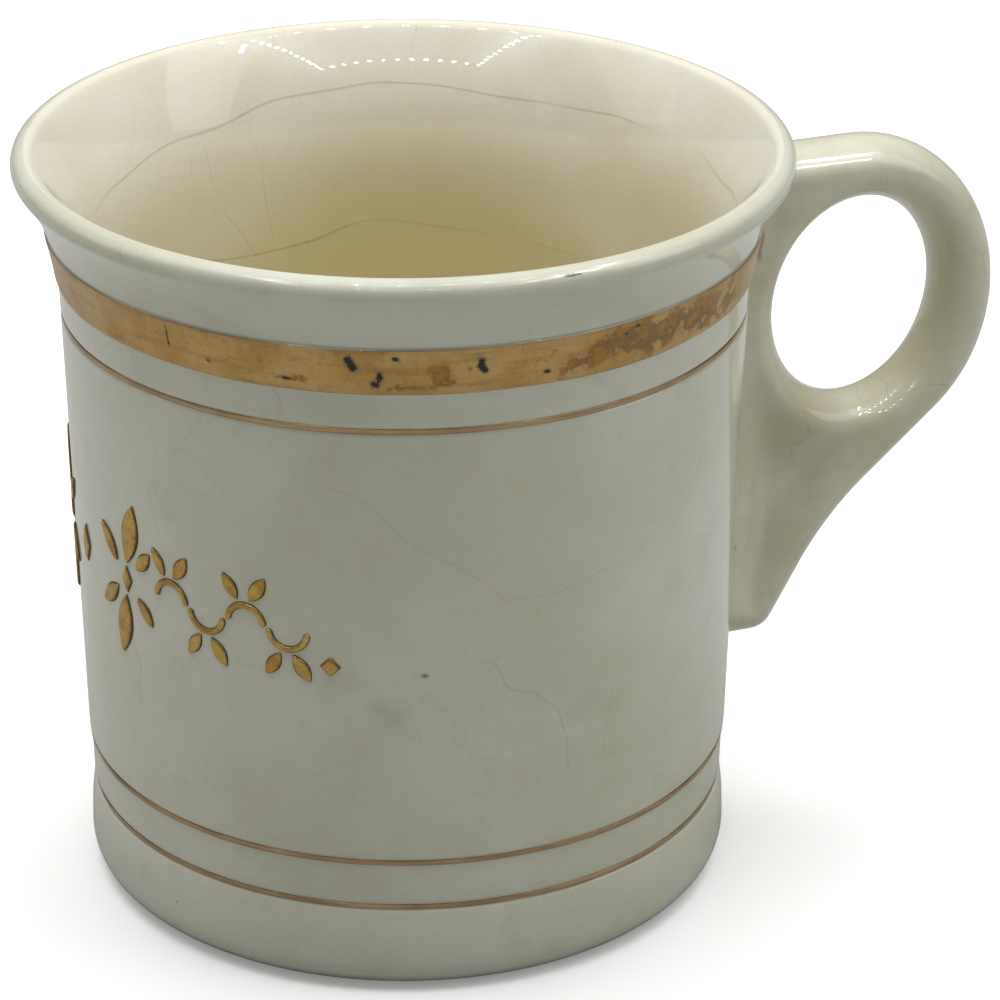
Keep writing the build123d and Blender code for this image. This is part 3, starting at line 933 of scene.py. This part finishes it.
# %% [markdown]
# ## The glaze
# Old lead glaze on white ware is a clear, slightly yellow glass over a pale body. Its looks come
# from small things: a soft gloss that waves a little, hair-fine crazing that took up tea-coloured
# stain, pin-prick specks, a browner cast where it pooled, and an inside that has aged more than
# the outside. Some of the colour is painted light: the inside is painted lighter than the outside,
# its darkening toward the bottom and up the far wall is partly painted shade, and a painted shadow
# line runs just above the band. Each of these is one mask, and the colour is a chain of tints
# through the masks.

# %% Parts that every glazed surface shares
def crazing(finish, cell_mm, hair_mm, ragged=0.35):
    """Mask of hairlines: the walls between warped cells, thinned to a hair's width."""
    moved = finish.warped(cell_mm * 1.1, 2.0, 0.5, cell_mm * ragged)
    return finish.cells(cell_mm, "DISTANCE_TO_EDGE", moved).smooth(hair_mm / cell_mm, 0.0)


def specks(finish, spacing_mm, size_mm, share):
    """Mask of rare round specks: a cell has one only if its own random number is below share."""
    distance = finish.cells(spacing_mm, "F1")
    lot = finish.node("ShaderNodeSeparateColor", None, {"Color": distance.sibling("Color")}, "Red")
    size = size_mm / spacing_mm
    return distance.smooth(size, size * 0.4) * lot.smooth(share, share * 0.9)


def blob(finish, centre_mm, half_sizes_mm):
    """Soft mask round one place: 1 at its middle, 0 at an ellipsoid of those half sizes."""
    offset = finish.vector("SUBTRACT", finish.place, tuple(v * MM for v in centre_mm))
    scaled = finish.vector("DIVIDE", offset, tuple(v * MM for v in half_sizes_mm))
    return finish.vector("LENGTH", scaled, output="Value").smooth(1.0, 0.0)


def tide_lines(finish, height_m, apart_mm=10.0, line_share=0.032):
    """Mask of thin stain lines that wander round the inside, where drying lather once stood.

    A line lies where height, shifted by slow noise, passes a whole number of spacings.
    """
    spacings = height_m / (apart_mm * MM) + finish.noise(48.0, 1.5) * 3.4
    level = finish.maths("PINGPONG", spacings, 1.0)
    return level.smooth(line_share, 0.0) * finish.noise(22.0, 1.0).smooth(0.36, 0.5)


def glazed(finish, colour, roughness, coat=1.0, coat_roughness=0.012):
    """The glaze's shader: a clear coat over the body, with slow waves and a fine orange peel."""
    waves = finish.noise(16.0, 1.0)
    peel = finish.noise(1.6, 1.0)
    return finish.surface(
        Base_Color=colour,
        Roughness=roughness,
        IOR=1.5,
        Normal=finish.relief(waves * 0.035 + peel * 0.002),
        Coat_Weight=coat,
        Coat_Roughness=coat_roughness,
        Coat_IOR=1.45,
    )


# %% Glaze of the cup
def cup_glaze():
    """Glaze of the cup, with a stained inside, crazing, specks and a bare foot ring."""
    finish = Finish("aged_ivory_glaze")
    height_m = finish.height()
    inside, bare = finish.paint("inside"), finish.paint("bare_foot")
    cloud = finish.noise(30.0, 4.0, 0.6)
    mottle = finish.noise(6.0, 3.0)
    grain = finish.noise(0.5, 2.0)

    outer = finish.tinted(
        shade(217, 217, 200),
        (cloud.smooth(0.36, 0.66), 208, 207, 184),
        (mottle.smooth(0.5, 0.78) * 0.5, 202, 199, 172),
        (finish.noise(11.0, 1.0).smooth(0.66, 0.76) * 0.15, 176, 174, 150),
    )
    # Inside, the colour darkens toward the bottom, partly a real stain and partly painted shade, and
    # the darkening rises higher up the far wall as painted shade.
    far_m = finish.vector("DOT_PRODUCT", finish.place, (0.37, 0.93, 0.0), output="Value")
    painted_far_wall_shade = (height_m - far_m * 1.1 + cloud * 0.016).smooth(0.052, 0.034)
    stain_and_painted_shade = finish.maths("MAXIMUM", height_m.smooth(0.086, 0.030), painted_far_wall_shade * 0.9)
    # The inside's ground colour is painted lighter than the outside's, a painted brightness for the
    # light that falls into the cup.
    inner = finish.tinted(
        shade(236, 232, 215),
        (stain_and_painted_shade, 216, 205, 160),
        (cloud.smooth(0.4, 0.7) * 0.3, 208, 194, 146),
    )

    patches = finish.noise(24.0, 2.0).smooth(0.47, 0.62)
    long_patches = finish.noise(30.0, 1.0).smooth(0.4, 0.6)
    fine_cracks = crazing(finish, 15.0, 0.07) * patches
    long_cracks = crazing(finish, 42.0, 0.12, 0.8) * long_patches * (1.0 - inside * 0.6)
    cracks = fine_cracks * 0.4 + long_cracks * 0.35
    tides = tide_lines(finish, height_m) * inside * height_m.smooth(0.014, 0.03)
    # The thin dark line just above the band's top edge is a painted shadow, as a fine groove there
    # would cast.
    shadow_line_over_band = ((height_m - (band_top + 0.1) * MM) ** 2.0).smooth((0.28 * MM) ** 2, 0.0)
    cloudy = blob(finish, (-16.0, -36.6, 37.3), (3.4, 3.4, 2.2)) * mottle.smooth(0.35, 0.6)
    scratch = blob(finish, (2.7, -45.6, 91.9), (2.2, 0.8, 0.3)) + (grain - 0.5) * 1.2
    spot = blob(finish, (-11.8, -38.3, 42.3), (0.75, 0.75, 0.45))
    colour = finish.tinted(
        finish.blend(inside, outer, inner),
        ((grain - 0.5) * 0.35, 160, 155, 132),
        (cracks * 0.5, 128, 112, 78),
        (tides * 0.35, 142, 128, 88),
        (specks(finish, 9.0, 0.22, 0.16) * 0.75, 84, 74, 52),
        (specks(finish, 3.1, 0.09, 0.25) * 0.4, 120, 108, 82),
        (shadow_line_over_band * (1.0 - inside) * 0.3, 104, 88, 62),
        (cloudy * 0.5, 150, 148, 128),
        (scratch.smooth(0.35, 0.6) * 0.85, 92, 84, 64),
        (spot * 0.9, 78, 74, 58),
    )
    biscuit = finish.tinted(shade(206, 196, 170), (mottle, 172, 158, 128))
    colour = finish.blend(bare, colour, biscuit)
    wear = finish.noise(9.0, 4.0).smooth(0.35, 0.8)
    roughness = 0.28 + wear * 0.08 + bare * 0.4 + cracks * 0.1
    return glazed(finish, colour, roughness, coat=1.0 - bare)


cup.data.materials.append(cup_glaze())

# %% [markdown]
# The handle has the same glaze. It is a little warmer where fingers hold it, its crazing is finer,
# a lick of gold ran on to its side beside the joint when the band was brushed, and grime has
# settled in the seam along the wall.

# %% Glaze of the handle and of its joint
def handle_glaze():
    """Glaze of the handle, with a gold stain beside its root, a dark speck and a grimy seam."""
    finish = Finish("handled_ivory_glaze")
    height_m = finish.height()
    cloud = finish.noise(18.0, 4.0, 0.6)
    mottle = finish.noise(4.0, 3.0)
    patches = finish.noise(14.0, 2.0).smooth(0.48, 0.66)
    cracks = crazing(finish, 9.0, 0.06) * patches
    smear = blob(finish, (44.1, -5.0, 75.4), (1.5, 1.6, 5.4)) + (mottle - 0.5) * 1.4
    speck = blob(finish, (42.2, -5.2, 34.4), (0.8, 0.8, 1.0))
    flat = finish.vector("MULTIPLY", finish.place, (1.0, 1.0, 0.0))
    radius_m = finish.vector("LENGTH", flat, output="Value")
    from_wall_m = radius_m - height_m * 0.031 + (mottle - 0.5) * 0.0012
    colour = finish.tinted(
        shade(214, 212, 190),
        (cloud.smooth(0.35, 0.7), 202, 196, 164),
        (mottle.smooth(0.5, 0.8) * 0.4, 192, 183, 150),
        (cracks * 0.3, 128, 112, 78),
        (specks(finish, 7.0, 0.2, 0.14) * 0.7, 84, 74, 52),
        (smear.smooth(0.36, 0.7) * 0.8, 160, 112, 60),
        (speck * 0.9, 92, 76, 44),
        (from_wall_m.smooth(0.0411, 0.0399) * 0.7, 112, 92, 60),
    )
    wear = finish.noise(8.0, 3.0).smooth(0.35, 0.8)
    return glazed(finish, colour, 0.28 + wear * 0.08 + cracks * 0.1)


def joint_glaze():
    """Glaze pooled in the joint: the same glaze, thicker, so greyer and browner, with grime."""
    finish = Finish("pooled_joint_glaze")
    grime = finish.noise(3.0, 4.0, 0.65)
    colour = finish.tinted(shade(142, 132, 104), (grime.smooth(0.35, 0.65), 98, 82, 52))
    return glazed(finish, colour, 0.12 + grime * 0.12, coat_roughness=0.04)


handle.data.materials.append(handle_glaze())
slip.data.materials.append(joint_glaze())

# %% [markdown]
# ## The gold
# Burnished gold on an old mug is coppery, thin and tired. Where it is rubbed, its brown ground
# shows through; where it is gone, there is a dark pit. Brush streaks run round the mug, so the
# noise is stretched along the paint that counts millimetres round it.

# %% Gold of the band, the lines and the frieze
def brushed_place(finish, stretch):
    """Coordinates on a gilt run: round it, shortened by stretch, and up it."""
    round_m = finish.paint("round_mm") * (MM / stretch)
    sockets = {"X": round_m, "Y": finish.height(), "Z": 0.0}
    return finish.node("ShaderNodeCombineXYZ", None, sockets, "Vector")


def band_gold():
    """Gold of the broad band: bright and coppery, rubbed brown in patches, with dark pits."""
    finish = Finish("worn_bright_gold")
    streaks = finish.noise(1.1, 3.0, 0.6, place=brushed_place(finish, 9.0))
    cloud = finish.noise(7.0, 3.0, 0.6)
    fret = finish.noise(0.7, 4.0, 0.75)
    ragged = finish.noise(2.3, 3.0, 0.6)
    rubbed = (finish.paint("rubs") + (ragged - 0.5) * 3.2).smooth(0.66, 0.9)
    flaked = finish.warped(1.3, 3.0, 0.65, 2.2)
    flake_edge = finish.cells(1.5, "DISTANCE_TO_EDGE", flaked).smooth(0.1, 0.02)
    rub_tone = finish.tinted(
        shade(142, 110, 66), (ragged.smooth(0.5, 0.6), 176, 128, 60), (flake_edge * 0.35, 112, 80, 42)
    )
    frayed = finish.paint("pits") + (fret - 0.5) * 1.5
    pitted = frayed.smooth(0.5, 0.68)
    scuffs = finish.noise(0.9, 3.0, 0.7).smooth(0.52, 0.68) * (1.0 - pitted)
    side = finish.paint("place")
    brushed = finish.tinted(
        shade(200, 164, 108),
        (cloud.smooth(0.35, 0.68), 186, 146, 86),
        (streaks.smooth(0.45, 0.75) * 0.45, 148, 114, 66),
    )
    colour = finish.tinted(
        finish.blend(rubbed * 0.85, brushed, rub_tone),
        (frayed.smooth(0.12, 0.45) * 0.75, 128, 112, 86),
        (pitted, 38, 33, 28),
        (scuffs * 0.35, 150, 112, 64),
        (specks(finish, 1.7, 0.16, 0.2) * 0.6, 96, 62, 30),
        ((side * side).smooth(0.86, 1.0) * 0.55, 104, 74, 40),
    )
    height_mm = cloud * 0.04 + streaks * 0.006 - pitted * 0.05 - rubbed * 0.008 + fret * 0.003
    return finish.surface(
        Base_Color=colour,
        Metallic=(1.0 - pitted) * (0.8 - rubbed * 0.3),
        Roughness=0.24 + streaks * 0.12 + rubbed * 0.14 + pitted * 0.3,
        Normal=finish.relief(height_mm),
    )


def line_gold():
    """Gold of the thin lines: brownish, darker at its edges, partly thin gold and partly painted
    groove shade, and broken here and there.
    """
    finish = Finish("thin_brown_gold")
    streaks = finish.noise(0.7, 4.0, 0.65, place=brushed_place(finish, 12.0))
    cloud = finish.noise(9.0, 3.0)
    side = finish.paint("place")
    # Both edges are painted dark: partly thin gold, and partly painted shade where the groove's sides
    # fall in shade.
    rim = (side * side + (streaks - 0.5) * 0.5).smooth(0.45, 0.95)
    colour = finish.tinted(
        shade(198, 166, 124),
        (cloud.smooth(0.35, 0.7), 172, 142, 106),
        (streaks.smooth(0.4, 0.7) * 0.6, 138, 112, 84),
        (rim * 0.85, 84, 62, 40),
    )
    return finish.surface(
        Base_Color=colour,
        Metallic=0.85 - rim * 0.5,
        Roughness=0.26 + streaks * 0.2,
        Normal=finish.relief(streaks * 0.01),
    )


def frieze_gold():
    """Gold of the raised paste: pale on top, with dark brown sides where the gold stops."""
    finish = Finish("raised_paste_gold")
    cloud = finish.noise(3.5, 4.0, 0.6)
    fret = finish.noise(0.5, 4.0, 0.65)
    rim = (finish.paint("edge") + (fret - 0.5) * 0.3).smooth(0.66, 0.9)
    colour = finish.tinted(
        shade(206, 172, 98),
        (cloud.smooth(0.35, 0.68), 176, 134, 70),
        (fret.smooth(0.5, 0.75) * 0.55, 136, 98, 50),
        (rim * 0.9, 74, 54, 30),
    )
    return finish.surface(
        Base_Color=colour,
        Metallic=1.0 - rim * 0.7,
        Roughness=0.24 + fret * 0.16 + rim * 0.2,
        Normal=finish.relief(cloud * 0.05 + fret * 0.02),
    )


for material, pieces in ((band_gold(), [band]), (line_gold(), lines), (frieze_gold(), frieze)):
    for piece in pieces:
        piece.data.materials.append(material)
print("finishes:", [material.name for material in bpy.data.materials if material.users])

# %% [markdown]
# ## Table, lights and camera
# The mug stands on a plain pale table. One broad soft light hangs overhead and a little behind, so
# the lip and the handle's top are bright and the front stays quiet, and two tall soft lights at the
# sides lift its edges. A ring of small lamps, as on a light panel, gives the dotted glints inside
# the cup and on the lip and the handle.

# %% The table
floor_half = 6.0
black, white = (0, 0, 0, 1), (1, 1, 1, 1)


def table():
    """A broad pale sheet at the foot's own height, with the faintest unevenness in its tone.

    The camera sees it lighter than it is, and white from 0.4 m on, so it has no horizon.
    """
    signs = ((-1, -1), (1, -1), (1, 1), (-1, 1))
    corners = [(x * floor_half, y * floor_half, cad_low[2]) for x, y in signs]
    mesh = bpy.data.meshes.new("table")
    mesh.from_pydata(corners, [], [(0, 1, 2, 3)])
    piece = show("table", mesh)
    finish = Finish("pale_table")
    tone = finish.noise(60.0, 3.0)
    seen = finish.node("ShaderNodeLightPath", output="Is Camera Ray")
    lit = finish.tinted(shade(250, 250, 249), (tone, 248, 248, 247))
    away = finish.vector("LENGTH", finish.place, output="Value").smooth(0.05, 0.4)
    mesh.materials.append(
        finish.surface(
            Base_Color=finish.blend(seen, shade(172, 172, 168), lit),
            Roughness=0.7,
            Specular_IOR_Level=0.2,
            Emission_Color=finish.blend(seen * (away * 0.8 + 0.2), black, white),
            Emission_Strength=1.0,
        )
    )


table()

# %% Lights
mug_middle = (cad_low + cad_high) / 2


def looking(azimuth, elevation=0.0):
    """Unit vectors ahead and to the right of a look along an azimuth, down by an elevation."""
    a, e = math.radians(azimuth), math.radians(elevation)
    ahead = np.array([math.sin(a) * math.cos(e), math.cos(a) * math.cos(e), -math.sin(e)])
    return ahead, np.array([math.cos(a), -math.sin(a), 0.0])


def soft_light(name, azimuth, elevation, distance, size, power, colour=(1, 1, 1), mirrored=True):
    """A soft rectangle of light that faces the mug; it shows in the glaze only if mirrored."""
    ahead = type(mug_middle)(looking(azimuth, elevation)[0])
    lamp = bpy.data.lights.new(name, "AREA")
    lamp.shape = "RECTANGLE"
    lamp.size, lamp.size_y = size
    lamp.energy = power
    lamp.color = colour
    made = show(name, lamp)
    made.visible_glossy = mirrored
    made.location = mug_middle - ahead * distance
    made.rotation_mode = "QUATERNION"
    made.rotation_quaternion = ahead.to_track_quat("-Z", "Y")


sky_tint, tall = (0.93, 0.98, 1.0), (0.5, 1.0)
soft_light("overhead", 200, 80, 1.3, (1.5, 1.5), 25.5, mirrored=False)
soft_light("left_side", 114, 40, 1.1, tall, 1.25, sky_tint)
soft_light("right_side", 302, 38, 1.1, tall, 2.1, sky_tint)


def world_light(lit=0.245, seen=1.25):
    """A dim even surround for light and reflections, which the camera itself sees as pale."""
    world = bpy.data.worlds.new("surround")
    world.use_nodes = True
    tree = world.node_tree
    tree.nodes.clear()
    output = tree.nodes.new("ShaderNodeOutputWorld")
    path = tree.nodes.new("ShaderNodeLightPath")
    strength = tree.nodes.new("ShaderNodeMix")
    strength.inputs[2].default_value = lit
    strength.inputs[3].default_value = seen
    ground = tree.nodes.new("ShaderNodeBackground")
    tree.links.new(path.outputs["Is Camera Ray"], strength.inputs[0])
    tree.links.new(strength.outputs[0], ground.inputs["Strength"])
    tree.links.new(ground.outputs[0], output.inputs["Surface"])
    bpy.context.scene.world = world


world_light()

# %% The ring of small lamps
def lamp_ring(azimuth=21.4, height=0.5, centre=(0.028, -0.276), size=(0.525, 0.322), dot=0.0125):
    """Small bright squares on a level rectangle's edge, in metres, which only glossy surfaces see.

    Its centre is given to the right of the mug and ahead of it along the azimuth, so a negative
    value is on the viewer's side. Two short rows beside it are what the handle's top mirrors.
    """
    far_row, near_row, side = (np.linspace(-0.5, 0.5, count) for count in (10, 13, 12))
    dots = [(x, 0.5) for x in far_row] + [(x, -0.5) for x in near_row]
    dots += [(x, y) for y in side[1:-1] for x in (-0.5, 0.5)]
    short_rows = [
        np.linspace((0.327, -0.117), (0.37, -0.14), 4),
        np.linspace((0.24, 0.04), (0.28, 0.0), 6),
    ]
    centres = np.concatenate([np.array(dots) * size + centre, *short_rows])
    offsets = np.array([(-1, -1), (1, -1), (1, 1), (-1, 1)]) * dot / 2
    flat = (centres[:, None] + offsets).reshape(-1, 2)
    ahead, right = looking(azimuth)
    points = flat[:, :1] * right + flat[:, 1:] * ahead + (0, 0, height)
    mesh = bpy.data.meshes.new("lamp_ring")
    mesh.from_pydata(points.tolist(), [], np.arange(len(points)).reshape(-1, 4).tolist())
    finish = Finish("lamp_glow")
    mesh.materials.append(
        finish.surface(Base_Color=black, Emission_Color=(1, 1, 0.97, 1), Emission_Strength=85.0)
    )
    piece = show("lamp_ring", mesh)
    piece.visible_camera = piece.visible_diffuse = piece.visible_shadow = False


lamp_ring()

# %% Camera
def camera_axes(azimuth, elevation, roll):
    """Right, up and back of a camera that looks along an azimuth, down by an elevation, rolled."""
    ahead, level = looking(azimuth, elevation)
    upright = np.cross(level, ahead)
    r = math.radians(roll)
    right = level * math.cos(r) + upright * math.sin(r)
    return right, np.cross(right, ahead), -ahead


aim_from_middle_mm, camera_distance_mm = (-3.55, 0.15, -2.48), 516.6
camera_data = bpy.data.cameras.new("camera")
camera_data.sensor_width, camera_data.lens = 36.0, 151.2
camera_data.clip_start, camera_data.clip_end = 0.01, 50.0
camera = show("camera", camera_data)
axes = np.stack(camera_axes(azimuth=21.41, elevation=24.77, roll=0.247), axis=1)
aim = np.array(mug_middle) + np.array(aim_from_middle_mm) * MM
stand = aim + axes[:, 2] * camera_distance_mm * MM
pose = np.eye(4)
pose[:3, :3], pose[:3, 3] = axes, stand
camera.matrix_world = type(camera.matrix_world)(pose.tolist())
bpy.context.scene.camera = camera
bpy.context.scene.view_settings.view_transform = "Standard"
print("camera at", (stand / MM).round(1), "mm")
